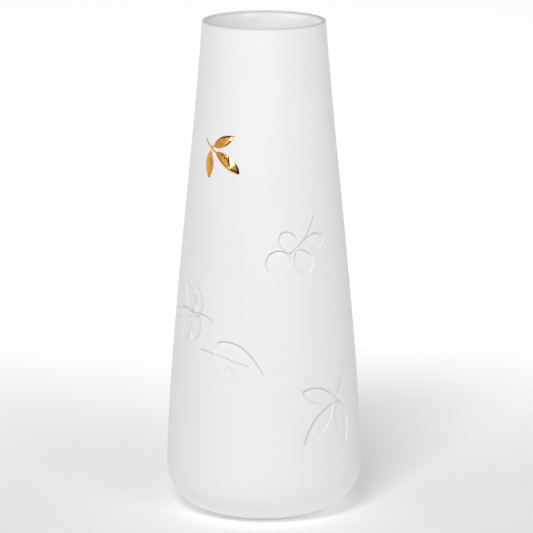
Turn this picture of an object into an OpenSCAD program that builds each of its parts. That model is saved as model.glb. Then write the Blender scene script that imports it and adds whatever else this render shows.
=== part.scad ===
// Tall slip-cast vase in matt white porcelain with a round bottom corner, a glazed inside
// and sprigs of leaves pressed into the wall. One sprig is gilded.
// The foot rests on z = 0 and the vase stands on the Z axis. Its front faces -Y.

/* [Vase] */
// Height from the foot to the top of the lip
vase_h = 265; // [245:1:285]
// Largest diameter, just above the bottom corner
body_d = 105; // [98:1:114]
// Outer diameter across the lip
rim_d = 65.5; // [60:0.5:72]
// Radius of the round bottom corner
corner_r = 25; // [20:1:30]
// Inward lean of the wall just above the corner, mm per mm
low_lean = 0.035; // [0.02:0.005:0.05]
// Inward lean of the wall at the lip, mm per mm
rim_lean = 0.076; // [0.05:0.002:0.1]

/* [Walls] */
// Thickness of the slip-cast wall
wall_t = 3.5; // [3:0.1:4.5]
// Thickness of the lip, which is fully rounded
lip_t = 2; // [1.6:0.1:2.6]
// Height below the lip over which the wall thins out
thin_h = 30; // [15:1:60]
// Thickness of the clear glaze on the inside
glaze_t = 0.3; // [0.2:0.05:0.5]
// Distance from the top of the lip down to the edge of the glaze
glaze_drop = 1.2; // [1:0.1:6]

/* [Foot] */
// Width of the flat ring that the vase stands on
foot_w = 3.5; // [2:0.1:6]
// Depth of the hollow inside that ring
foot_hollow = 1; // [0.6:0.1:1.5]

/* [Leaves] */
// Depth of the pressed leaves and stems
leaf_depth = 1; // [0.5:0.05:1.2]
// Width of a pressed stem
stem_w = 1.1; // [0.7:0.05:1.4]
// Thickness of the gold in the gilded sprig
gold_t = 0.3; // [0.15:0.05:0.35]

/* [Hidden] */

$fn = 96;
wall_steps = 24;        // straight pieces that follow the curve of the wall
leaf_steps = 12;        // points along each side of a leaf
stem_steps = 6;         // points along each side of a stem
clear = 1;              // how far a cutting shape runs past what it cuts

body_r = body_d / 2;
rim_r = rim_d / 2;
corner_x = body_r - corner_r;      // middle of the corner's arc, and radius of the flat foot
lip_r = lip_t / 2;
wall_top = vase_h - lip_r;         // where the wall meets the rounded lip
turn = 90 + atan(low_lean);        // angle that the corner's arc turns through

// A leaf: [base x, base y, heading, length, width, bend, base roundness, tip roundness].
// Roundness runs from 0.5, a round end, to 1 and over, a pointed one.
// A stem: [start x, start y, heading, length, bend].
// Both are drawn on the flat that touches the vase at the sprig's own place.
GILT_UPPER = [-5, 3, 27, 14, 5.5, 0, 0.7, 0.9];
GILT_HANGING = [-7, 0.5, -92, 14.5, 6, 12, 0.85, 0.9];
GILT_LOWER = [-3.6, 0, -34, 18, 6, -20, 0.7, 0.7];
THREE_LEAVES = [GILT_UPPER, GILT_HANGING, GILT_LOWER];
THREE_STEMS = [[-11.1, 6.4, -39, 10.5, 30], [-7.4, 2.4, 15, 3, 0], [-7.3, 2.6, -82, 3, 0]];

ROUND_LEAVES = [[-0.5, -2.5, 127, 13.5, 9.8, 0, 0.7, 0.55], [-4.5, -4, -154, 13.8, 11.8, 8, 0.6, 0.6],
    [0, -1, -61, 14.5, 11, 5, 0.7, 0.65], [4.5, 3.5, -8, 12, 8.8, 0, 0.7, 0.6]];
ROUND_STEMS = [[10.6, 15.7, -129, 24.5, -44]];

FIVE_LEAVES = [[-0.1, 1.1, 123, 17, 7, 38, 0.8, 0.9], [6.1, 1.8, 110, 13.5, 6.4, 0, 0.6, 0.65],
    [-1.8, -1, -110, 16, 6.6, 4, 0.6, 0.5], [4.6, -0.5, -103, 14, 7.6, 0, 0.5, 0.5],
    [-13, -1, -160, 9, 6, 0, 0.6, 0.6]];
FIVE_STEMS = [[14.3, -1.6, 172, 14, 42], [0.6, 0.2, 175, 13.4, 38]];

BIG_LEAF = [[-9, 9.5, -32, 31, 17.5, 42, 0.65, 0.85]];
BIG_STEM = [[-19.7, 4.3, -13, 28.5, -6]];

FAN_LEAVES = [[6.4, 2.8, 164, 23.5, 8.6, -8, 1, 0.75], [4.6, 2, -135, 30.5, 9.2, -4, 1.2, 1.2],
    [6, 2, -73, 24, 10.3, -5, 0.65, 0.65]];
FAN_STEMS = [[13.9, 21.9, -115, 21.8, -26]];

// A sprig: [leaves, stems, degrees round from the front, height, 1 or -1 to mirror it].
GILT_SPRIG = [THREE_LEAVES, THREE_STEMS, -36, 199, 1];
SPRIGS = [
    GILT_SPRIG,
    [ROUND_LEAVES, ROUND_STEMS, 24, 150, 1],
    [FIVE_LEAVES, FIVE_STEMS, -54, 112, 1],
    [BIG_LEAF, BIG_STEM, -20, 90, 1],
    [FAN_LEAVES, FAN_STEMS, 43, 64, 1],
    [THREE_LEAVES, THREE_STEMS, 150, 196, -1],
    [ROUND_LEAVES, ROUND_STEMS, 207, 146, -1],
    [FIVE_LEAVES, FIVE_STEMS, 96, 126, -1],
    [BIG_LEAF, BIG_STEM, 165, 86, -1],
    [FAN_LEAVES, FAN_STEMS, 244, 70, -1]
];

// Outer radius of the wall at height z: one smooth curve from the corner to the lip.
function corner_point(r) = [corner_x + r * sin(turn), corner_r - r * cos(turn)];
function wall_r(z) =
    let (
        low = corner_point(corner_r),
        rise = wall_top - low.y,
        s = (z - low.y) / rise
    )
    low.x * (2 * pow(s, 3) - 3 * pow(s, 2) + 1)
        - low_lean * rise * (pow(s, 3) - 2 * pow(s, 2) + s)
        + rim_r * (3 * pow(s, 2) - 2 * pow(s, 3))
        - rim_lean * rise * (pow(s, 3) - pow(s, 2));

// Wall thickness at height z: even, then thinning out to the lip.
function thickness(z) =
    let (s = min(1, max(0, (wall_top - z) / thin_h)))
    lip_t + (wall_t - lip_t) * s * (2 - s);

// Points up the wall, each moved in by inset times the wall's thickness and by gap.
function wall_line(inset, gap) =
    let (low = corner_point(corner_r - inset * wall_t - gap))
    concat([low], [
        for (i = [1 : wall_steps])
            let (z = low.y + (wall_top - low.y) * i / wall_steps)
            [wall_r(z) - inset * thickness(z) - gap, z]
    ]);

// The filled outline from the axis to the wall, moved in by inset walls and by gap.
// Its flat bottom lies at the same distance in from the foot.
module filled(inset, gap, top) {
    line = wall_line(inset, gap);
    arc_r = corner_r - inset * wall_t - gap;
    bottom = corner_r - arc_r;
    translate([corner_x, corner_r]) circle(arc_r);
    polygon(concat([[0, bottom], [corner_x, bottom]], line, [[line[wall_steps].x, top], [0, top]]));
}

module lip() {
    translate([rim_r - lip_r, wall_top]) circle(lip_r);
}

module body_section() {
    difference() {
        union() {
            filled(0, 0, wall_top);
            lip();
        }
        filled(1, 0, vase_h + clear);
        translate([0, -clear]) square([corner_x - foot_w, clear + foot_hollow]);
    }
}

module glaze_section() {
    top = vase_h - glaze_drop;
    intersection() {
        difference() {
            filled(1, 0, wall_top);
            filled(1, glaze_t, wall_top);
        }
        square([body_d, top]);
    }
}

// Points along a bent line that starts at [x, y]. Each is [x, y, direction].
function spine(x, y, heading, length, bend, t) =
    let (
        from = heading - bend / 2,
        now = from + bend * t,
        arc = bend == 0 ? 0 : length * 180 / (PI * bend)
    )
    bend == 0
        ? [x + length * t * cos(heading), y + length * t * sin(heading), heading]
        : [x + arc * (sin(now) - sin(from)), y - arc * (cos(now) - cos(from)), now];

function beside(p, w) = [p.x - w * sin(p.z), p.y + w * cos(p.z)];

function leaf_points(leaf) =
    let (
        base = leaf[6],
        tip = leaf[7],
        widest = base / (base + tip),
        rows = [for (i = [0 : leaf_steps])
            let (
                t = (1 - cos(180 * i / leaf_steps)) / 2,
                w = leaf[4] / 2 * pow(t / widest, base) * pow((1 - t) / (1 - widest), tip)
            )
            [spine(leaf[0], leaf[1], leaf[2], leaf[3], leaf[5], t), w]]
    )
    concat(
        [for (i = [0 : leaf_steps]) beside(rows[i][0], rows[i][1])],
        [for (i = [leaf_steps - 1 : -1 : 1]) beside(rows[i][0], -rows[i][1])]
    );

function stem_points(stem) =
    let (rows = [for (i = [0 : stem_steps])
        spine(stem[0], stem[1], stem[2], stem[3], stem[4], i / stem_steps)])
    concat(
        [for (i = [0 : stem_steps]) beside(rows[i], stem_w / 2)],
        [for (i = [stem_steps : -1 : 0]) beside(rows[i], -stem_w / 2)]
    );

// Carries a flat drawing out through the wall at a sprig's place.
module through_wall(sprig) {
    rotate([0, 0, sprig[2]])
        translate([0, 0, sprig[3]])
            rotate([90, 0, 0])
                linear_extrude(body_r + clear)
                    scale([sprig[4], 1])
                        children();
}

module leaf_cutter(sprig, leaf) {
    through_wall(sprig) polygon(leaf_points(leaf));
}

module stem_cutters(sprig) {
    for (stem = sprig[1])
        through_wall(sprig) polygon(stem_points(stem));
}

// A skin that follows the wall, from depth to outside_by beyond the surface.
module skin(depth, outside_by) {
    outer = wall_line(0, -outside_by);
    inner = wall_line(0, depth);
    rotate_extrude()
        polygon(concat(outer, [for (i = [wall_steps : -1 : 0]) inner[i]]));
}

module pressed(sprig) {
    intersection() {
        skin(leaf_depth, clear);
        union() {
            for (leaf = sprig[0])
                leaf_cutter(sprig, leaf);
            stem_cutters(sprig);
        }
    }
}

module porcelain_body() {
    color("#F2F0ED")
        difference() {
            rotate_extrude() body_section();
            for (sprig = SPRIGS)
                pressed(sprig);
        }
}

module inner_glaze() {
    color("#FBFAF8") rotate_extrude() glaze_section();
}

module gilt_leaf(leaf) {
    color("#C8922B")
        intersection() {
            skin(leaf_depth, gold_t - leaf_depth);
            leaf_cutter(GILT_SPRIG, leaf);
        }
}

module gilt_stem() {
    color("#B98225")
        intersection() {
            skin(leaf_depth, gold_t - leaf_depth);
            difference() {
                stem_cutters(GILT_SPRIG);
                for (leaf = THREE_LEAVES)
                    leaf_cutter(GILT_SPRIG, leaf);
            }
        }
}

module gilt_leaf_upper() {
    gilt_leaf(GILT_UPPER);
}

module gilt_leaf_hanging() {
    gilt_leaf(GILT_HANGING);
}

module gilt_leaf_lower() {
    gilt_leaf(GILT_LOWER);
}

porcelain_body();
inner_glaze();
gilt_stem();
gilt_leaf_upper();
gilt_leaf_hanging();
gilt_leaf_lower();
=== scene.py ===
import math
from collections import namedtuple

import bpy
import numpy as np
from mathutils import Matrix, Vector


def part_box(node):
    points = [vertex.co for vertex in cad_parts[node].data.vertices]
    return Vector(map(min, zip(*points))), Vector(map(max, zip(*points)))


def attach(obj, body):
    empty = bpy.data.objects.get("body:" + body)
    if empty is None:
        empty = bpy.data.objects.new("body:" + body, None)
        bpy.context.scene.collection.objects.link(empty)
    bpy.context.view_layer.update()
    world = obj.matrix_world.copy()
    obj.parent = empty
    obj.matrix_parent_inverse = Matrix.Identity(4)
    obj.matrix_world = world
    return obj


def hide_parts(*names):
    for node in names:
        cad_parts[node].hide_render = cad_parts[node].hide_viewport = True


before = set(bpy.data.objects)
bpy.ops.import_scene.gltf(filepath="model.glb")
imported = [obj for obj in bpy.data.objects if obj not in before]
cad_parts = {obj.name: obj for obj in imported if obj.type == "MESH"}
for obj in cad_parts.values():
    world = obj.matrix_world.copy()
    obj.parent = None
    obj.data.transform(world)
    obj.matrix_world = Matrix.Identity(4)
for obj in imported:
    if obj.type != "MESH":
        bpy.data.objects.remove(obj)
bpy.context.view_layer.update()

MM = 0.001


# ---------------------------------------------------------------- sizes, in millimetres
VASE_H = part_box("porcelain_body")[1].z / MM
BODY_R = 52.5            # greatest radius, just above the round corner
RIM_R = 32.75            # outer radius at the lip
CORNER_R = 25.0          # radius of the round bottom corner
LOW_LEAN = 0.035         # inward lean of the wall just above the corner, mm per mm
RIM_LEAN = 0.076         # and at the lip
WALL_T = 3.5
LIP_T = 2.0
THIN_H = 30.0            # height below the lip over which the wall thins out
GLAZE_T = 0.3
GLAZE_DROP = 1.2         # from the top of the lip to the edge of the glaze
FOOT_W = 3.5             # width of the flat foot ring
FOOT_HOLLOW = 1.0        # depth of the hollow inside it
LEAF_DEPTH = 1.0         # depth of the pressed leaves
STEM_DEPTH = 0.9
STEM_W = 1.1
VEIN_DEPTH = 0.5
VEIN_W = 0.8

LIP_R = LIP_T / 2
WALL_TOP = VASE_H - LIP_R
CORNER_X = BODY_R - CORNER_R
TURN = math.pi / 2 + math.atan(LOW_LEAN)


# ---------------------------------------------------------------- sprigs
# Leaves and stems lie on the flat that touches the vase at the sprig's own place, and start at
# x, y there. The ends of a leaf, base and tip, run from 0.5, a round end, to 1 and over, a
# pointed one.
Leaf = namedtuple("Leaf", "x y heading length width bend base tip")
Stem = namedtuple("Stem", "x y heading length bend")
GILT_LEAVES = {
    "gilt_leaf_upper": Leaf(-5, 3, 27, 14, 5.5, 0, 0.7, 0.9),
    "gilt_leaf_hanging": Leaf(-7, 0.5, -92, 14.5, 6, 12, 0.85, 0.9),
    "gilt_leaf_lower": Leaf(-3.6, 0, -34, 18, 6, -20, 0.7, 0.7),
}
THREE_LEAVES = list(GILT_LEAVES.values())
THREE_STEMS = [
    Stem(-11.1, 6.4, -39, 10.5, 30),
    Stem(-7.4, 2.4, 15, 3, 0),
    Stem(-7.3, 2.6, -82, 3, 0),
]
ROUND_LEAVES = [
    Leaf(-0.5, -2.5, 127, 13.5, 9.8, 0, 0.7, 0.55),
    Leaf(-4.5, -4, -154, 13.8, 11.8, 8, 0.6, 0.6),
    Leaf(0, -1, -61, 14.5, 11, 5, 0.7, 0.65),
    Leaf(4.5, 3.5, -8, 12, 8.8, 0, 0.7, 0.6),
]
ROUND_STEMS = [Stem(10.6, 15.7, -129, 24.5, -44)]
FIVE_LEAVES = [
    Leaf(-0.1, 1.1, 123, 17, 7, 38, 0.8, 0.9),
    Leaf(6.1, 1.8, 110, 13.5, 6.4, 0, 0.6, 0.65),
    Leaf(-1.8, -1, -110, 16, 6.6, 4, 0.6, 0.5),
    Leaf(4.6, -0.5, -103, 14, 7.6, 0, 0.5, 0.5),
    Leaf(-13, -1, -160, 9, 6, 0, 0.6, 0.6),
]
FIVE_STEMS = [Stem(14.3, -1.6, 172, 14, 42), Stem(0.6, 0.2, 175, 13.4, 38)]
FIVE_VEINS = [Stem(2.2, -1.1, 8, 4, 0)]
BIG_LEAF = [Leaf(-9, 9.5, -32, 31, 17.5, 42, 0.65, 0.85)]
BIG_STEM = [Stem(-19.7, 4.3, -13, 28.5, -6)]
BIG_VEINS = [Stem(-6.5, -3.4, -41, 4, 0), Stem(-3, -2.7, -49, 5, 0)]
FAN_LEAVES = [
    Leaf(6.4, 2.8, 164, 23.5, 8.6, -8, 1, 0.75),
    Leaf(4.6, 2, -135, 30.5, 9.2, -4, 1.2, 1.2),
    Leaf(6, 2, -73, 24, 10.3, -5, 0.65, 0.65),
]
FAN_STEMS = [Stem(13.9, 21.9, -115, 21.8, -26)]
FAN_VEINS = [Stem(-7.7, -14.9, 32, 2.8, 0)]

# A sprig's veins are fine lines inside its leaves. It sits at degrees round from the front and
# at a height, and mirror is 1, or -1 to turn it over. Press is the x part of the way towards
# which its stamp was pressed harder, and dark is how far the painted shade along the cut line
# spreads over the rim on that side.
Sprig = namedtuple("Sprig", "leaves stems veins degrees height mirror press dark")
GILT_SPRIG = Sprig(THREE_LEAVES, THREE_STEMS, [], -36, 199, 1, 0, 0)
SPRIGS = [
    GILT_SPRIG,
    Sprig(ROUND_LEAVES, ROUND_STEMS, [], 24, 150, 1, -0.5, 0),
    Sprig(FIVE_LEAVES, FIVE_STEMS, FIVE_VEINS, -54, 112, 1, 1.0, 0.9),
    Sprig(BIG_LEAF, BIG_STEM, BIG_VEINS, -20, 90, 1, 0.3, 0),
    Sprig(FAN_LEAVES, FAN_STEMS, FAN_VEINS, 43, 64, 1, -0.8, 0.65),
    Sprig(THREE_LEAVES, THREE_STEMS, [], 150, 196, -1, 0, 0),
    Sprig(ROUND_LEAVES, ROUND_STEMS, [], 207, 146, -1, -0.5, 0),
    Sprig(FIVE_LEAVES, FIVE_STEMS, FIVE_VEINS, 96, 126, -1, 0.6, 0.4),
    Sprig(BIG_LEAF, BIG_STEM, BIG_VEINS, 165, 86, -1, -0.1, 0),
    Sprig(FAN_LEAVES, FAN_STEMS, FAN_VEINS, 244, 70, -1, -0.5, 0.4),
]


# ---------------------------------------------------------------- curves of the vase and leaves
FAR_OFF = 1e9            # further than anything on the vase


def wall_r(z):
    """Outer radius of the wall: one smooth curve from the corner to the lip."""
    low_r = CORNER_X + CORNER_R * math.sin(TURN)
    low_z = CORNER_R - CORNER_R * math.cos(TURN)
    rise = WALL_TOP - low_z
    s = (z - low_z) / rise
    return (
        low_r * (2 * s**3 - 3 * s**2 + 1)
        - LOW_LEAN * rise * (s**3 - 2 * s**2 + s)
        + RIM_R * (3 * s**2 - 2 * s**3)
        - RIM_LEAN * rise * (s**3 - s**2)
    )


def thickness(z):
    """Thickness of the wall, which thins out towards the lip."""
    s = np.clip((WALL_TOP - z) / THIN_H, 0, 1)
    return LIP_T + (WALL_T - LIP_T) * s * (2 - s)


def side_line(inset, gap, corner_steps, wall_steps, top):
    """Radius and height up the side, moved in by inset times the wall's thickness and by gap."""
    arc_r = CORNER_R - inset * WALL_T - gap
    turns = np.linspace(0, TURN, corner_steps + 1)
    corner = np.column_stack([CORNER_X + arc_r * np.sin(turns), CORNER_R - arc_r * np.cos(turns)])
    z = np.linspace(corner[-1, 1], top, wall_steps + 1)[1:]
    wall = np.column_stack([wall_r(z) - inset * thickness(z) - gap, z])
    return np.vstack([corner, wall])


OUTER = side_line(inset=0, gap=0, corner_steps=400, wall_steps=1200, top=WALL_TOP)
OUTER_LENGTH = np.concatenate([[0], np.cumsum(np.hypot(*np.diff(OUTER, axis=0).T))])
SIDE_LENGTH = OUTER_LENGTH[-1]


def on_side(s):
    """Radius, height and outward normal at length s up the outside."""
    r = np.interp(s, OUTER_LENGTH, OUTER[:, 0])
    z = np.interp(s, OUTER_LENGTH, OUTER[:, 1])
    step = 0.2           # length either side over which the slope is taken
    r1, r0 = (np.interp(s + k, OUTER_LENGTH, OUTER[:, 0]) for k in (step, -step))
    z1, z0 = (np.interp(s + k, OUTER_LENGTH, OUTER[:, 1]) for k in (step, -step))
    length = np.hypot(r1 - r0, z1 - z0)
    return r, z, (z1 - z0) / length, -(r1 - r0) / length


def spine(x, y, heading, length, bend, t):
    """Points and direction, in radians, along a bent line."""
    start = math.radians(heading - bend / 2)
    turn = math.radians(bend)
    now = start + turn * t
    if bend == 0:
        return x + length * t * math.cos(start), y + length * t * math.sin(start), now
    arc = length / turn
    return x + arc * (np.sin(now) - math.sin(start)), y - arc * (np.cos(now) - math.cos(start)), now


def leaf_spine(leaf, t):
    return spine(leaf.x, leaf.y, leaf.heading, leaf.length, leaf.bend, t)


def half_width(leaf, t):
    """Half the width of a leaf at t along it, from 0 at its base to 1 at its tip."""
    widest = leaf.base / (leaf.base + leaf.tip)
    return leaf.width / 2 * (t / widest) ** leaf.base * ((1 - t) / (1 - widest)) ** leaf.tip


def leaf_outline(leaf, steps=60):
    """Points round a leaf, closer together at its ends."""
    t = (1 - np.cos(np.linspace(0, math.pi, steps + 1))) / 2
    x, y, way = leaf_spine(leaf, t)
    w = half_width(leaf, t)
    left = np.column_stack([x - w * np.sin(way), y + w * np.cos(way)])
    right = np.column_stack([x + w * np.sin(way), y - w * np.cos(way)])
    return np.vstack([left, right[-2:0:-1]])


def stem_line(stem, steps=16):
    """Points along a stem."""
    x, y, _ = spine(*stem, np.linspace(0, 1, steps + 1))
    return np.column_stack([x, y])


def smooth(x):
    """Rises softly from 0 to 1 while x goes from 0 to 1."""
    x = np.clip(x, 0, 1)
    return x * x * (3 - 2 * x)


def distance_to(points, line):
    """Least distance from each point to a line of straight pieces."""
    best = np.full(len(points), FAR_OFF)
    for a, b in zip(line[:-1], line[1:]):
        ab = b - a
        along = np.clip(((points - a) @ ab) / max(ab @ ab, 1e-12), 0, 1)
        best = np.minimum(best, np.hypot(*(points - a - along[:, None] * ab).T))
    return best


def inside(points, outline):
    """Which points lie inside a closed outline."""
    hit = np.zeros(len(points), bool)
    x, y = points.T
    for (x1, y1), (x2, y2) in zip(outline, np.roll(outline, -1, axis=0)):
        if y1 != y2:
            crosses = (y1 > y) != (y2 > y)
            hit ^= crosses & (x < (x2 - x1) * (y - y1) / (y2 - y1) + x1)
    return hit


# ---------------------------------------------------------------- pressed relief
EDGE_OUT = 0.10          # how far the rounded edge of a pressed leaf starts outside its outline
STEEP_IN = 0.22          # how far inside it the edge ends on the side pressed harder
SLOW_IN = 0.5            # and on the other side
PRESS_MIDDLE = 0.86      # share of the full depth in the middle of a leaf's floor
PRESS_TILT = 0.16        # how much the floor falls towards the side pressed harder
BITE = 0.5               # extra depth of the line that the stamp's edge cuts on that side
BITE_IN = 0.28           # its distance inside the outline
BITE_W = 0.34            # half its width
BITE_SHARE = 0.85        # share of that line where the edge faces the side pressed harder
BITE_FADES = (-0.8, 0.6)  # how squarely an edge faces that side where the line starts and is full
DARK_OUT = 0.2           # how far outside the outline the rim's painted shade is darkest
DARK_SHARE = 1.4         # and how much darker its painted shade is than a cut line's
PILLOW = 0.3             # how much of the depth the middle of a leaf rises back
GROOVE_WIDE = 0.55       # half width of a stem's groove at the surface, as a share of its width
INSIDE_LEAF = 0.5        # how much shallower a stem is pressed in the floor of a leaf
REACH = 34.0             # no sprig reaches further than this from its own place
REACH_TURN = 1.2         # nor further than this round the vase, in radians
MARGIN = 4.0             # places further than this from a leaf or stem are left out


def to_flat(sprig, turn, z):
    """A sprig's own flat coordinates of places on the side, and which of them are near."""
    away = (turn - math.radians(sprig.degrees) + math.pi) % (2 * math.pi) - math.pi
    near = (np.abs(away) < REACH_TURN) & (np.abs(z - sprig.height) < REACH)
    x = wall_r(z) * np.sin(away) * sprig.mirror
    return np.column_stack([x, z - sprig.height]), near


def edge_facing(leaf, spots):
    """Which way the edge of a leaf faces near each place, as for an ellipse of its size."""
    heading = math.radians(leaf.heading)
    ahead = np.array([math.cos(heading), math.sin(heading)])
    left = np.array([-ahead[1], ahead[0]])
    from_middle = spots - (leaf.x, leaf.y) - ahead * leaf.length / 2
    along = (from_middle @ ahead) / leaf.length**2
    across = (from_middle @ left) / leaf.width**2
    way = along[:, None] * ahead + across[:, None] * left
    return way / np.maximum(np.hypot(*way.T), 1e-9)[:, None]


def press_leaf(sprig, leaf, outline, spots):
    """Depth, share of painted shade along the cut line, and distance to the outline where a leaf is
    pressed in.
    """
    press_way = np.array([sprig.press, math.sqrt(1 - sprig.press**2)])
    to_edge = distance_to(spots, np.vstack([outline, outline[:1]]))
    inward = np.where(inside(spots, outline), to_edge, -to_edge)
    if sprig.leaves is THREE_LEAVES:  # pressed flat, with an even edge all round
        depth = LEAF_DEPTH * smooth((inward + EDGE_OUT) / (EDGE_OUT + STEEP_IN))
        return depth, np.zeros(len(spots)), to_edge
    along = outline @ press_way
    tilt = (2 * (spots @ press_way) - along.max() - along.min()) / np.ptp(along)
    floor = PRESS_MIDDLE + PRESS_TILT * np.clip(tilt, -1, 1)
    floor = floor * (1 - PILLOW * smooth(inward / (leaf.width / 2)))
    facing = edge_facing(leaf, spots) @ press_way
    edge_in = STEEP_IN + (SLOW_IN - STEEP_IN) * (1 - facing) / 2
    steep = smooth((inward + EDGE_OUT) / (EDGE_OUT + edge_in))
    fade_from, fade_to = BITE_FADES
    line = (1 - smooth(np.abs(inward - BITE_IN) / BITE_W)) * BITE_SHARE
    line = line * smooth((facing - fade_from) / (fade_to - fade_from))
    # painted shade along the cut line, and where dark is set, over the rim outside the outline on the
    # side pressed harder
    painted_dark = line
    if sprig.dark:
        dark = 1 - smooth(np.abs(inward + DARK_OUT) / sprig.dark)
        painted_dark = np.maximum(line, DARK_SHARE * dark * np.maximum(facing, 0))
    return LEAF_DEPTH * steep * floor + BITE * line, painted_dark, to_edge


def near_line(points, line):
    """Which points lie near the box round a line."""
    return np.all((points > line.min(0) - MARGIN) & (points < line.max(0) + MARGIN), axis=1)


def relief(turn, z):
    """Pressed depth at places on the side, distance to the nearest edge, and share of painted shade
    in the grooves and along the pressed edges.
    """
    depth = np.zeros(len(turn))
    painted_dark = np.zeros(len(turn))
    edge = np.full(len(turn), FAR_OFF)
    for sprig in SPRIGS:
        flat, near = to_flat(sprig, turn, z)
        chosen = np.flatnonzero(near)
        points = flat[chosen]
        for leaf in sprig.leaves:
            outline = leaf_outline(leaf)
            close = near_line(points, outline)
            pressed, dark, to_edge = press_leaf(sprig, leaf, outline, points[close])
            at = chosen[close]
            depth[at] = np.maximum(depth[at], pressed)
            painted_dark[at] = np.maximum(painted_dark[at], dark)
            edge[at] = np.minimum(edge[at], to_edge)
        lines = [(stem, STEM_W, STEM_DEPTH) for stem in sprig.stems]
        lines += [(vein, VEIN_W, VEIN_DEPTH) for vein in sprig.veins]
        for stem, wide, deep in lines:
            line = stem_line(stem)
            close = near_line(points, line)
            away = distance_to(points[close], line)
            at = chosen[close]
            groove = 1 - smooth(away / (GROOVE_WIDE * wide))
            in_leaf = np.minimum(depth[at] / LEAF_DEPTH, 1)
            depth[at] += deep * groove * (1 - INSIDE_LEAF * in_leaf)
            # painted shade in the stem's groove
            painted_dark[at] = np.maximum(painted_dark[at], groove)
            edge[at] = np.minimum(edge[at], np.maximum(away - wide / 2, 0))
    return depth, edge, painted_dark


# ---------------------------------------------------------------- body mesh
AROUND = 160             # widest cells round the vase
UP = 136                 # and up its side
LEVELS = 3               # each finer level halves a cell
CELL_REACH = 0.75        # share of a cell's height within which an edge splits it
SPLIT_NEAR = 0.5         # and how much further off an edge may lie, in mm
SPLIT_NEAR_FINEST = 0.32  # and for the finest split
FINE = 2**LEVELS
FINE_AROUND = AROUND * FINE
FINE_UP = UP * FINE


def round_vase(r, turn, z):
    """Points at a radius, a turn round from the front and a height."""
    return np.column_stack([r * np.sin(turn), -r * np.cos(turn), z])


def places(i, j):
    """Turn and length up the side of fine grid places, i round and j up."""
    return 2 * math.pi * i / FINE_AROUND, SIDE_LENGTH * j / FINE_UP


def spread(cells):
    """Marks the neighbours of marked cells, round the vase and up."""
    out = cells | np.roll(cells, 1, axis=1) | np.roll(cells, -1, axis=1)
    wide = out.copy()
    wide[1:] |= out[:-1]
    wide[:-1] |= out[1:]
    return wide


def parents(cells):
    """Marks the cells of the next wider level that hold a marked cell."""
    return cells[0::2, 0::2] | cells[1::2, 0::2] | cells[0::2, 1::2] | cells[1::2, 1::2]


def children(cells):
    """Marks all four cells of the next finer level inside each marked cell."""
    return np.repeat(np.repeat(cells, 2, axis=0), 2, axis=1)


def split_marks():
    """For each level from the widest, which cells split: those that an edge runs through."""
    marks = []
    for level in range(LEVELS):
        size = FINE >> level
        j, i = np.mgrid[0 : FINE_UP // size, 0 : FINE_AROUND // size]
        turn, s = places((i + 0.5) * size, (j + 0.5) * size)
        _, z, _, _ = on_side(s.ravel())
        reach = CELL_REACH * size * SIDE_LENGTH / FINE_UP
        depth, edge, _ = relief(turn.ravel(), z)
        split = edge < reach + (SPLIT_NEAR_FINEST if level == LEVELS - 1 else SPLIT_NEAR)
        if level == 0:
            split |= depth > 0
        marks.append(split.reshape(i.shape))
    for level in range(LEVELS - 1, 0, -1):
        marks[level - 1] |= parents(spread(marks[level]))
    for level in range(1, LEVELS):
        marks[level] &= children(marks[level - 1])
    return marks


def side_cells():
    """The cells of the side as (i, j, size) on the fine grid."""
    marks = split_marks()
    cells = []
    exists = np.ones_like(marks[0])
    for level in range(LEVELS):
        size = FINE >> level
        kept = exists & ~marks[level]
        j, i = np.nonzero(kept)
        cells.append(np.column_stack([i * size, j * size, np.full(len(i), size)]))
        exists = children(exists & marks[level])
    j, i = np.nonzero(exists)
    cells.append(np.column_stack([i, j, np.ones(len(i), int)]))
    return np.vstack(cells)


def side_mesh():
    """Points in mm, faces and painted shade of the pressed side, and the rings along its two ends."""
    cells = side_cells()
    i, j, size = cells.T

    def key(a, b):
        return b * FINE_AROUND + a % FINE_AROUND

    corners = np.column_stack([
        key(i, j), key(i + size, j), key(i + size, j + size), key(i, j + size),
    ])
    used = np.unique(corners)
    index = np.full((FINE_UP + 1) * FINE_AROUND, -1)
    index[used] = np.arange(len(used))
    half = size // 2
    mids = np.column_stack([
        key(i + half, j), key(i + size, j + half), key(i + half, j + size), key(i, j + half),
    ])
    loops = np.empty((len(cells), 8), int)
    loops[:, 0::2] = index[corners]
    loops[:, 1::2] = np.where(size[:, None] > 1, index[mids], -1)
    faces = [[v for v in loop if v >= 0] for loop in loops.tolist()]
    turn, s = places(used % FINE_AROUND, used // FINE_AROUND)
    r, z, nr, nz = on_side(s)
    depth, _, painted_dark = relief(turn, z)
    r, z = r - depth * nr, z - depth * nz
    points = round_vase(r, turn, z)
    ring = np.arange(0, FINE_AROUND, FINE)
    return points, faces, painted_dark, index[key(ring, 0)], index[key(ring, FINE_UP)]


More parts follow.
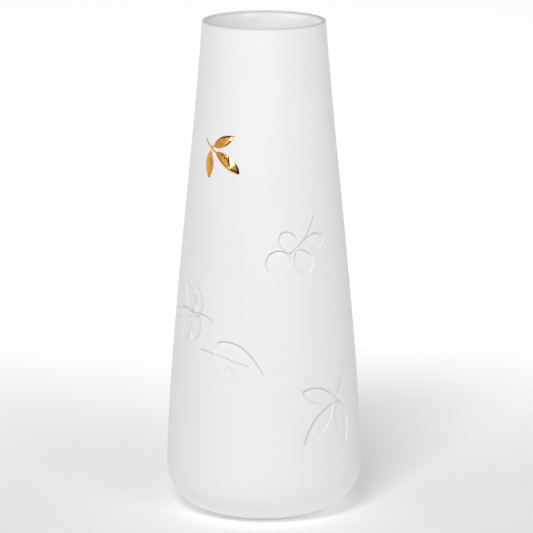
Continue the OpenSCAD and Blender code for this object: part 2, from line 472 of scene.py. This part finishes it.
class Shell:
    """A mesh that grows by rings of AROUND vertices about the vase's axis."""

    def __init__(self, points=None, faces=None):
        self.points = [] if points is None else points.tolist()
        self.faces = [] if faces is None else faces

    def ring(self, r, z):
        """Adds a ring of vertices and returns their indices."""
        first = len(self.points)
        for k in range(AROUND):
            turn = 2 * math.pi * k / AROUND
            self.points.append((r * math.sin(turn), -r * math.cos(turn), z))
        return list(range(first, first + AROUND))

    def join(self, low, high):
        """Adds the faces between two rings. They look outward where low is the lower ring."""
        for k in range(AROUND):
            n = (k + 1) % AROUND
            self.faces.append((low[k], low[n], high[n], high[k]))

    def run(self, start, line, ahead=True):
        """Joins rings at each (r, z) of a line on to the ring start, and returns the last.

        Ahead is up the outside and down the inside. It is False for a line that runs back.
        """
        for r, z in line:
            ring = self.ring(r, z)
            low, high = (start, ring) if ahead else (ring, start)
            self.join(low, high)
            start = ring
        return start

    def close(self, ring, z, ahead=True):
        """Fills a ring to a point on the axis. Ahead is as for run()."""
        centre = len(self.points)
        self.points.append((0, 0, z))
        for k in range(AROUND):
            n = (k + 1) % AROUND
            self.faces.append((ring[k], ring[n], centre) if ahead else (ring[n], ring[k], centre))

    def piece(self, name, material, painted_dark=()):
        mesh = bpy.data.meshes.new(name)
        mesh.from_pydata((np.array(self.points) * MM).tolist(), [], self.faces)
        mesh.polygons.foreach_set("use_smooth", [True] * len(mesh.polygons))
        # the points carry painted darkening: painted shade on the body, painted dark reflections on
        # the gold
        if len(painted_dark):
            marks = np.zeros(len(self.points))
            marks[: len(painted_dark)] = painted_dark
            mesh.attributes.new("painted_dark", "FLOAT", "POINT").data.foreach_set("value", marks)
        mesh.materials.append(material)
        mesh.validate()
        mesh.update()
        obj = bpy.data.objects.new(name, mesh)
        bpy.context.scene.collection.objects.link(obj)
        return obj


def arc(cx, cz, r, start, end, steps):
    """Points on an arc after its first one. Angles are in degrees from the +r direction."""
    angles = np.radians(np.linspace(start, end, steps + 1)[1:])
    return [(cx + r * math.cos(a), cz + r * math.sin(a)) for a in angles]


FLOOR_RINGS = (0.7, 0.4, 0.15)  # rings across a flat round floor, as shares of its radius
FOOT_SOFT = 0.3          # rounding of the inner edge of the foot ring
FOOT_FACE = 0.4          # where a ring crosses the flat of the foot, as a share of its width
GLAZE_ROLL = (0.6, 0.15)  # how far in and down the glaze's edge rolls, as shares of its thickness


def disc(radius, z):
    """The rings that carry a flat round floor in towards its middle."""
    return [(radius * share, z) for share in FLOOR_RINGS]


def body_piece(material):
    """The pressed side, then over the lip, down the inside, and the foot underneath."""
    points, faces, painted_dark, foot, rim = side_mesh()
    shell = Shell(points, faces)
    lip = shell.run(list(rim), arc(RIM_R - LIP_R, WALL_TOP, LIP_R, start=0, end=180, steps=12))
    inner = side_line(inset=1, gap=0, corner_steps=12, wall_steps=60, top=WALL_TOP)[::-1]
    floor_z = inner[-1, 1]
    last = shell.run(lip, inner[1:].tolist() + disc(CORNER_X, floor_z))
    shell.close(last, floor_z)
    ring_in = CORNER_X - FOOT_W
    under = [(CORNER_X - FOOT_FACE * FOOT_W, 0), (ring_in + FOOT_SOFT, 0)]
    under += arc(ring_in + FOOT_SOFT, FOOT_SOFT, FOOT_SOFT, start=-90, end=-180, steps=4)
    top_z = FOOT_HOLLOW - FOOT_SOFT
    under += [(ring_in, top_z)] + arc(ring_in - FOOT_SOFT, top_z, FOOT_SOFT, start=0, end=90, steps=4)
    under += disc(ring_in, FOOT_HOLLOW)
    shell.close(shell.run(list(foot), under, ahead=False), FOOT_HOLLOW, ahead=False)
    return shell.piece("body_bisque", material, painted_dark)


def glaze_piece(material):
    """The clear layer on the inside: out to the wall, and round its rolled edge."""
    shell = Shell()
    top = VASE_H - GLAZE_DROP
    steps = {"corner_steps": 16, "wall_steps": 70}
    shown = side_line(inset=1, gap=GLAZE_T, top=top - GLAZE_T, **steps)[::-1]
    backed = side_line(inset=1, gap=0, top=top, **steps)[::-1]
    start = shell.ring(*backed[0])
    rolled = [(backed[0, 0] - GLAZE_T * GLAZE_ROLL[0], top - GLAZE_T * GLAZE_ROLL[1])]
    last = shell.run(start, rolled + shown.tolist() + disc(CORNER_X, shown[-1, 1]))
    shell.close(last, shown[-1, 1])
    behind = backed[1:].tolist() + disc(CORNER_X, backed[-1, 1])
    shell.close(shell.run(start, behind, ahead=False), backed[-1, 1], ahead=False)
    return shell.piece("inner_glaze_layer", material)


# ---------------------------------------------------------------- gold
GOLD_SINK = 0.96         # how deep the back of the gold lies
GOLD_RIM = 0.26          # depth of its face at the rim
GOLD_FACE = 0.08         # and over most of the leaf
RIM_ROUND = 0.6          # width of the rounded rim
LEAST_DEPTH = 0.03       # the gold's face stays this far under the outside of the vase
LEAST_GOLD = 0.16        # and the gold at least this thick
TIP_DEPTH = 0.4          # depth of the points at a leaf's two ends
STEM_TIP_DEPTH = 0.3     # and at a stem's
STEM_SIDE = 0.2          # depth of a stem's gold at its sides
STEM_CROWN = 0.12        # and how much its middle stands above them
LEAF_STEPS = (90, 44)    # steps of a gold leaf's mesh along it and across it
STEM_STEPS = (24, 12)    # and of a gold stem's

# Folds in the gold. Right of the line between two places, each t along the leaf and u across it,
# the gold drops over the crease's width to a facet. The facet passes the middle of the line at a
# depth and faces a way: degrees round from the front of the vase, and degrees up.
Fold = namedtuple("Fold", "t1 u1 t2 u2 crease depth turn rise")
GOLD_FOLDS = {
    "gilt_leaf_upper": [Fold(0.74, -0.9, 0.8, 0.9, 0.5, 0.1, -28.5, 11)],
    "gilt_leaf_hanging": [],
    "gilt_leaf_lower": [Fold(0.66, -0.5, 0.42, 0.85, 0.35, 0.3, -28.5, 11)],
}
# Painted dark reflections on the gold, as strokes between two places: half width and strength.
Stroke = namedtuple("Stroke", "t1 u1 t2 u2 wide strength")
GOLD_STROKES = {
    "gilt_leaf_upper": [
        Stroke(0.45, 0.9, 0.72, 0.8, 0.5, 0.9), Stroke(0.72, 0.8, 0.97, 0.5, 0.65, 1.0),
        Stroke(0.5, -0.95, 0.8, -0.9, 0.5, 0.9), Stroke(0.8, -0.9, 0.97, -0.9, 0.4, 1.0),
        Stroke(0.08, 0.9, 0.45, 0.95, 0.4, 0.4),
    ],
    "gilt_leaf_hanging": [
        Stroke(0.97, 0.0, 1.0, 0.0, 0.9, 0.9), Stroke(0.15, -0.95, 0.85, -0.95, 0.5, 0.2),
    ],
    "gilt_leaf_lower": [
        Stroke(0.27, 0.7, 0.46, 0.32, 0.6, 0.6), Stroke(0.46, 0.32, 0.64, -0.2, 0.7, 0.65),
        Stroke(0.23, 0.5, 0.24, 0.5, 0.5, 1.0), Stroke(0.35, 0.2, 0.36, 0.2, 0.45, 1.0),
        Stroke(0.6, 0.95, 0.8, 0.92, 0.42, 0.8), Stroke(0.8, 0.92, 0.97, 0.6, 0.6, 1.0),
        Stroke(0.73, -0.6, 0.88, -0.15, 0.6, 1.0), Stroke(0.88, -0.15, 0.98, 0.2, 0.6, 1.0),
        Stroke(0.08, -0.95, 0.7, -0.97, 0.42, 0.5),
    ],
}


def on_vase(sprig, x, y, depth):
    """Places a sprig's flat points at a depth under the outside of the vase, in mm."""
    z = sprig.height + y
    r = wall_r(z)
    turn = math.radians(sprig.degrees) + np.arcsin(x * sprig.mirror / r)
    lean = wall_r(z + 0.5) - wall_r(z - 0.5)
    r, z = r - depth / np.hypot(1, lean), z + depth * lean / np.hypot(1, lean)
    return round_vase(r, turn, z)


def spot_on_vase(spot, depth):
    """One flat point of the gilt sprig, placed at a depth."""
    return on_vase(GILT_SPRIG, *np.reshape(spot, (2, 1)), depth)[0]


class Film:
    """A piece of gold made of closed strips, each of rings along a bent line with pointed ends."""

    def __init__(self):
        self.points = []
        self.faces = []
        self.marks = []

    def strip(self, rings, first, last, marks=None):
        """Adds a closed strip: rings of points, a point at either end, and the rings' painted
        darkness.
        """
        base = len(self.points)
        n = len(rings[0])
        self.points += [p for ring in rings for p in ring.tolist()]
        ends = [len(self.points), len(self.points) + 1]
        self.points += [first.tolist(), last.tolist()]
        if marks:
            self.marks += [mark for row in marks for mark in row.tolist()]
            self.marks += [marks[0].max(), marks[-1].max()]
        for k in range(len(rings) - 1):
            a, b = base + k * n, base + (k + 1) * n
            for m in range(n):
                q = (m + 1) % n
                self.faces.append((a + m, b + m, b + q, a + q))
        tail = base + (len(rings) - 1) * n
        for m in range(n):
            q = (m + 1) % n
            self.faces.append((base + m, base + q, ends[0]))
            self.faces.append((tail + q, tail + m, ends[1]))

    def piece(self, name, material):
        return Shell(np.array(self.points), self.faces).piece(name, material, self.marks)


def leaf_spot(leaf, t, u):
    """The flat point at t along a leaf and u across it, from -1 on its right to 1 on its left."""
    x, y, way = leaf_spine(leaf, t)
    w = half_width(leaf, t)
    return np.array([x - u * w * np.sin(way), y + u * w * np.cos(way)])


def facing_way(degrees, rise):
    """The way that points degrees round from the front and rise degrees up."""
    turn, up = math.radians(degrees), math.radians(rise)
    return np.array([math.cos(up) * math.sin(turn), -math.cos(up) * math.cos(turn), math.sin(up)])


def gold_depth(name, leaf, spots, from_edge):
    """Depth of the gold's face: a rounded rim and the leaf's folds."""
    depth = GOLD_RIM + (GOLD_FACE - GOLD_RIM) * smooth(from_edge / RIM_ROUND)
    skin = on_vase(GILT_SPRIG, *spots.T, 0)
    inward = on_vase(GILT_SPRIG, *spots.T, 1) - skin
    for fold in GOLD_FOLDS[name]:
        start, end = leaf_spot(leaf, fold.t1, fold.u1), leaf_spot(leaf, fold.t2, fold.u2)
        ahead = (end - start) / np.hypot(*(end - start))
        right = (spots - start) @ np.array([ahead[1], -ahead[0]])
        way = facing_way(fold.turn, fold.rise)
        facet = (skin - spot_on_vase((start + end) / 2, fold.depth)) @ way / -(inward @ way)
        depth = depth + (facet - depth) * smooth(right / fold.crease)
    return np.clip(depth, LEAST_DEPTH, GOLD_SINK - LEAST_GOLD)


def gold_strokes(name, leaf, spots):
    """How dark the gold's painted reflections are: full along the middle of a stroke, and fading out
    to its edge.
    """
    dark = np.zeros(len(spots))
    for stroke in GOLD_STROKES[name]:
        line = [leaf_spot(leaf, stroke.t1, stroke.u1), leaf_spot(leaf, stroke.t2, stroke.u2)]
        fade = smooth(2 * distance_to(spots, line) / stroke.wide - 1)
        dark = np.maximum(dark, stroke.strength * (1 - fade))
    return dark


def across_gold(steps):
    """Places across a piece of gold, from -1 to 1, closer together at its sides."""
    return np.sin(np.linspace(-math.pi / 2, math.pi / 2, steps + 1))


def gold_leaf(name, material):
    """The gold in one leaf's recess, as one closed strip from its base to its tip."""
    leaf = GILT_LEAVES[name]
    film = Film()
    steps_along, steps_across = LEAF_STEPS
    across = across_gold(steps_across)
    rings, marks = [], []
    for t in (1 - np.cos(np.linspace(0, math.pi, steps_along + 1)[1:-1])) / 2:
        spots = np.array([leaf_spot(leaf, t, u) for u in across])
        face = gold_depth(name, leaf, spots, (1 - np.abs(across)) * half_width(leaf, t))
        both = np.vstack([spots, spots[::-1]])
        depth = np.concatenate([face, np.full(len(across), GOLD_SINK)])
        rings.append(on_vase(GILT_SPRIG, *both.T, depth))
        # painted dark reflections on the gold
        dark = gold_strokes(name, leaf, spots)
        marks.append(np.concatenate([dark, dark[::-1]]))
    base, tip = (spot_on_vase(leaf_spot(leaf, t, 0), TIP_DEPTH) for t in (0, 1))
    film.strip(rings, base, tip, marks)
    return film.piece(name.replace("gilt_leaf", "gold_leaf"), material)


def gold_stem(material):
    """The gold in the grooves of the gilt sprig's stem and of its two short stalks."""
    film = Film()
    steps_along, steps_across = STEM_STEPS
    across = across_gold(steps_across)
    face = STEM_SIDE - STEM_CROWN * (1 - across**2)
    depth = np.concatenate([face, np.full(len(across), GOLD_SINK)])
    for stem in THREE_STEMS:
        rings = []
        for t in np.linspace(0, 1, steps_along + 1)[1:-1]:
            x, y, way = spine(*stem, t)
            w = STEM_W / 2 * min(1, 4 * min(t, 1 - t)) ** 0.5
            u = np.concatenate([across, across[::-1]]) * w
            rings.append(on_vase(GILT_SPRIG, x - u * np.sin(way), y + u * np.cos(way), depth))
        start, end = (spot_on_vase(spine(*stem, t)[:2], STEM_TIP_DEPTH) for t in (0, 1))
        film.strip(rings, start, end)
    return film.piece("gold_stem", material)


# ---------------------------------------------------------------- finishes
class Wire:
    """A node's output. Arithmetic with wires and numbers adds Math nodes."""

    def __init__(self, finish, socket):
        self.finish = finish
        self.socket = socket

    def out(self, name):
        return Wire(self.finish, self.socket.node.outputs[name])

    def math(self, operation, left, right):
        return self.finish.add("Math", {"operation": operation}, {0: left, 1: right})

    def __add__(self, other):
        return self.math("ADD", self, other)

    def __radd__(self, other):
        return self.math("ADD", other, self)

    def __mul__(self, other):
        return self.math("MULTIPLY", self, other)

    def __rmul__(self, other):
        return self.math("MULTIPLY", other, self)


class Finish:
    """A material or world whose nodes are all made by add()."""

    def __init__(self, owner, coordinate="Object"):
        self.owner = owner
        owner.use_nodes = True
        self.tree = owner.node_tree
        self.tree.nodes.clear()
        self.place = self.add("TexCoord").out(coordinate)

    def add(self, kind, settings=None, sockets=None):
        node = self.tree.nodes.new("ShaderNode" + kind)
        for name, value in (settings or {}).items():
            setattr(node, name, value)
        for name, value in (sockets or {}).items():
            if isinstance(value, Wire):
                self.tree.links.new(value.socket, node.inputs[name])
            else:
                node.inputs[name].default_value = value
        return Wire(self, node.outputs[0]) if node.outputs else None

    def noise(self, size_mm, detail=3.0, roughness=0.55, seed=0.0):
        """A soft random value about 0.5 with features of that size."""
        return self.add(
            "TexNoise",
            {"noise_dimensions": "4D"},
            {"Vector": self.place, "W": seed, "Scale": 1000 / size_mm, "Detail": detail,
             "Roughness": roughness},
        )

    def step(self, value, low, high, to_low=0.0, to_high=1.0):
        """Runs softly from to_low to to_high while value goes from low to high."""
        return self.add(
            "MapRange",
            {"interpolation_type": "SMOOTHSTEP"},
            {"Value": value, "From Min": low, "From Max": high, "To Min": to_low, "To Max": to_high},
        )

    def blend(self, factor, first, second):
        """Mixes two colours. Sockets 6 and 7 are the Mix node's two colours, and 2 its result."""
        first, second = (
            colour if isinstance(colour, Wire) else (*colour, 1) for colour in (first, second)
        )
        return self.add("Mix", {"data_type": "RGBA"}, {0: factor, 6: first, 7: second}).out(2)

    def part(self, axis):
        """The X, Y or Z part of the place."""
        return self.add("SeparateXYZ", None, {0: self.place}).out(axis)

    def bump(self, height, distance_mm, strength=1.0, under=None):
        sockets = {"Height": height, "Distance": distance_mm * MM, "Strength": strength}
        if under is not None:
            sockets["Normal"] = under
        return self.add("Bump", None, sockets)

    def surface(self, sockets):
        shader = self.add("BsdfPrincipled", None, sockets)
        self.add("OutputMaterial", None, {"Surface": shader})
        return self.owner


BLACK = (0.0, 0.0, 0.0)
PORCELAIN = (0.868, 0.867, 0.863)
PORCELAIN_PALE = (0.880, 0.879, 0.876)
# painted shade for the grooves and the pressed edges
PAINTED_SHADE = (0.50, 0.49, 0.47)
# painted shade on the top of the lip
PAINTED_LIP_SHADE = (0.64, 0.635, 0.62)
IRON_SPECK = (0.55, 0.50, 0.44)
PAINTED_SHADE_SHARE = 0.35         # share of each painted shade, and of the specks, where it is full
PAINTED_LIP_SHADE_SHARE = 0.5
SPECK_SHARE = 0.12
LIP_BAND = (1.4, 0.5)    # mm below the top where the lip's painted shade starts and is full
GLAZE = (0.91, 0.909, 0.902)
GLAZE_POOLED = (0.93, 0.929, 0.924)
# painted glow on the glaze near the lip
PAINTED_GLOW = (1.0, 0.995, 0.98)
PAINTED_GLOW_STRENGTH = 0.12   # strength of the painted glow on the glaze near the lip, which stands in for light through the thin wall and light falling into the mouth
PAINTED_GLOW_DOWN = 110     # mm below the top where it has faded out
PAINTED_GLOW_SIDE = (-28, 12)  # mm from left to right where it starts and is full
GOLD = (0.88, 0.37, 0.08)
GOLD_PALE = (0.98, 0.50, 0.13)
# painted dark reflections on the gold
GOLD_PAINTED_DARK_REFLECTION = (0.04, 0.02, 0.008)
TABLE = (0.87, 0.87, 0.87)
TABLE_PALE = (0.9, 0.9, 0.9)
NEAR_GLOW = 0.19         # light given off by the table near the vase, and at its far end
FAR_GLOW = 0.68
GLOW_PLACES = (-0.1, 0.6)  # metres behind the vase where the glow starts to grow and is full


def bisque_finish():
    """Fired, unglazed porcelain: a dry, faintly warm white with a fine sandy tooth, and painted shade
    in its grooves and on its lip.
    """
    f = Finish(bpy.data.materials.new("bisque"))
    cloud = f.noise(size_mm=45, detail=2.0, seed=1.3)
    patch = f.noise(size_mm=9, detail=3.0, seed=4.1)
    tooth = f.noise(size_mm=0.5, detail=4.0, roughness=0.65, seed=2.2)
    speck = f.step(f.noise(size_mm=1.1, detail=1.0, seed=7.7), low=0.76, high=0.82)
    pale = f.step(cloud * 0.6 + patch * 0.4, low=0.38, high=0.62)
    painted_dark = f.add("Attribute", {"attribute_name": "painted_dark"}).out("Fac")
    # painted shade on the top of the lip
    lip = f.step(f.part("Z"), *((VASE_H - down) * MM for down in LIP_BAND))
    # painted shade in the grooves and along the pressed edges
    shade = f.blend(painted_dark * PAINTED_SHADE_SHARE, f.blend(pale, PORCELAIN, PORCELAIN_PALE), PAINTED_SHADE)
    shade = f.blend(lip * PAINTED_LIP_SHADE_SHARE, shade, PAINTED_LIP_SHADE)
    wave = f.bump(f.noise(size_mm=16, detail=1.0, seed=9.4), distance_mm=0.02)
    return f.surface({
        "Base Color": f.blend(speck * SPECK_SHARE, shade, IRON_SPECK),
        "Roughness": 0.5 + 0.12 * tooth + 0.08 * patch,
        "Specular IOR Level": 0.35,
        "Normal": f.bump(tooth, distance_mm=0.02, strength=0.35, under=wave),
    })


def glaze_finish():
    """Clear glaze over the white body, with the slight waviness of a poured layer, and a painted glow
    near the lip.
    """
    f = Finish(bpy.data.materials.new("clear_glaze"))
    pool = f.noise(size_mm=14, detail=2.0, seed=3.0)
    skin = f.noise(size_mm=1.4, detail=2.0, seed=5.2)
    # painted glow near the lip, brighter towards the right
    lit = f.step(f.part("Z"), (VASE_H - PAINTED_GLOW_DOWN) * MM, VASE_H * MM)
    lit = lit * f.step(f.part("X"), *(across * MM for across in PAINTED_GLOW_SIDE))
    wave = f.bump(pool, distance_mm=0.1, strength=0.6)
    return f.surface({
        "Base Color": f.blend(f.step(pool, low=0.35, high=0.65), GLAZE, GLAZE_POOLED),
        "Roughness": 0.1 + 0.1 * skin,
        "Emission Color": f.blend(lit, BLACK, PAINTED_GLOW),
        "Emission Strength": PAINTED_GLOW_STRENGTH,
        "Normal": f.bump(skin, distance_mm=0.01, strength=0.5, under=wave),
    })


def gold_finish():
    """Burnished bright gold, brushed on thin over the rough bisque, with painted dark reflections in
    places.
    """
    f = Finish(bpy.data.materials.new("bright_gold"))
    patch = f.noise(size_mm=2.2, detail=3.0, seed=1.9)
    grain = f.noise(size_mm=0.22, detail=3.0, seed=6.3)
    # painted dark reflections, carried by the gold's points
    painted_dark_reflection = f.step(f.add("Attribute", {"attribute_name": "painted_dark"}).out("Fac"), low=0.0, high=1.0)
    clean = f.blend(f.step(patch, low=0.35, high=0.66), GOLD, GOLD_PALE)
    dents = f.bump(patch, distance_mm=0.05, strength=0.5)
    return f.surface({
        "Base Color": f.blend(painted_dark_reflection, clean, GOLD_PAINTED_DARK_REFLECTION),
        "Metallic": 1.0,
        "Roughness": f.step(patch, low=0.3, high=0.7, to_low=0.1, to_high=0.17) + 0.05 * grain,
        "Normal": f.bump(grain, distance_mm=0.006, strength=0.4, under=dents),
    })


def table_finish():
    """White table that runs far back and glows a little, more so in the distance."""
    f = Finish(bpy.data.materials.new("studio_table"))
    glow = f.step(f.part("Y"), *GLOW_PLACES, NEAR_GLOW, FAR_GLOW)
    return f.surface({
        "Base Color": f.blend(f.noise(size_mm=160, detail=2.0, seed=8.0), TABLE, TABLE_PALE),
        "Roughness": 0.9,
        "Specular IOR Level": 0.1,
        "Emission Color": f.blend(glow, BLACK, (1.0, 1.0, 1.0)),
        "Emission Strength": 1.0,
    })


# ---------------------------------------------------------------- studio
WALLS_GLOW = 0.92        # brightness of the room's pale walls and of its ceiling
CEILING_GLOW = 0.1
CEILING_EDGE = (0.25, 0.8)  # how far up the walls end and the ceiling starts, from 0 to 1
DARK_END = (-8.0, 8.0)   # the dark end of the room: degrees round from the front, and up
DARK_OUTER = 42.0        # degrees from its middle where it starts
DARK_INNER = 24.0        # and where it is full
DARK_LEFT = 0.03         # share of the light left there
TABLE_HALF = 6.0         # half the width of the table, in metres
LENS_MM = 264.6
FILM_MM = 36.0
CAMERA_PLACE = (0, -2.05, 0.581)
CAMERA_TIP = 0.2159      # radians down from level
CAMERA_SHIFT = 0.0046    # sideways shift of the lens, as a share of the film's width


def softbox(name, degrees, rise, distance, size, power):
    """A light at degrees round from the front and rise degrees up, aimed at the vase's middle."""
    light = bpy.data.lights.new(name, "AREA")
    light.shape = "RECTANGLE"
    light.size, light.size_y = size
    light.energy = power
    out = Vector(facing_way(degrees, rise))
    obj = bpy.data.objects.new(name, light)
    obj.location = Vector((0, 0, VASE_H * MM / 2)) + distance * out
    obj.rotation_euler = (-out).to_track_quat("-Z", "Y").to_euler()
    bpy.context.scene.collection.objects.link(obj)


def room():
    """Pale walls all round, a dark ceiling and a dark end behind the camera."""
    world = bpy.data.worlds.new("studio")
    bpy.context.scene.world = world
    f = Finish(world, "Generated")
    walls = f.step(f.part("Z"), *CEILING_EDGE, WALLS_GLOW, CEILING_GLOW)
    towards = {0: f.place, 1: tuple(facing_way(*DARK_END))}
    facing = f.add("VectorMath", {"operation": "DOT_PRODUCT"}, towards).out("Value")
    outer, inner = (math.cos(math.radians(angle)) for angle in (DARK_OUTER, DARK_INNER))
    lit = f.step(facing, outer, inner, 1.0, DARK_LEFT)
    sky = f.add("Background", None, {"Strength": walls * lit})
    f.add("OutputWorld", None, {"Surface": sky})


def studio():
    softbox("key", degrees=-15, rise=45, distance=2.6, size=(0.8, 0.8), power=30.5)
    softbox("left_strip", degrees=-57, rise=10, distance=1.5, size=(0.12, 0.2), power=1.1)
    softbox("front_fill", degrees=32, rise=22, distance=2.0, size=(0.6, 0.6), power=6.2)
    room()


def white_table():
    """The table under the vase, which belongs to the studio and not to the part."""
    half = TABLE_HALF
    corners = [(-half, -half, 0), (half, -half, 0), (half, half, 0), (-half, half, 0)]
    mesh = bpy.data.meshes.new("table")
    mesh.from_pydata(corners, [], [(0, 1, 2, 3)])
    mesh.materials.append(table_finish())
    table = bpy.data.objects.new("table", mesh)
    bpy.context.scene.collection.objects.link(table)


def camera():
    """A long lens in front of the vase, a little above it and tipped down."""
    data = bpy.data.cameras.new("camera")
    data.sensor_width = FILM_MM
    data.lens = LENS_MM
    data.shift_x = CAMERA_SHIFT
    data.clip_end = 50
    cam = bpy.data.objects.new("camera", data)
    cam.location = CAMERA_PLACE
    cam.rotation_euler = (math.pi / 2 - CAMERA_TIP, 0, 0)
    bpy.context.scene.collection.objects.link(cam)
    bpy.context.scene.camera = cam


def keep(piece, node):
    """Gives a piece its body and hides the CAD part that it stands for."""
    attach(piece, "root")
    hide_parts(node)


def main():
    scene = bpy.context.scene
    scene.view_settings.view_transform = "Standard"
    camera()
    studio()
    white_table()
    keep(body_piece(bisque_finish()), "porcelain_body")
    keep(glaze_piece(glaze_finish()), "inner_glaze")
    gold = gold_finish()
    keep(gold_stem(gold), "gilt_stem")
    for name in GILT_LEAVES:
        keep(gold_leaf(name, gold), name)


main()
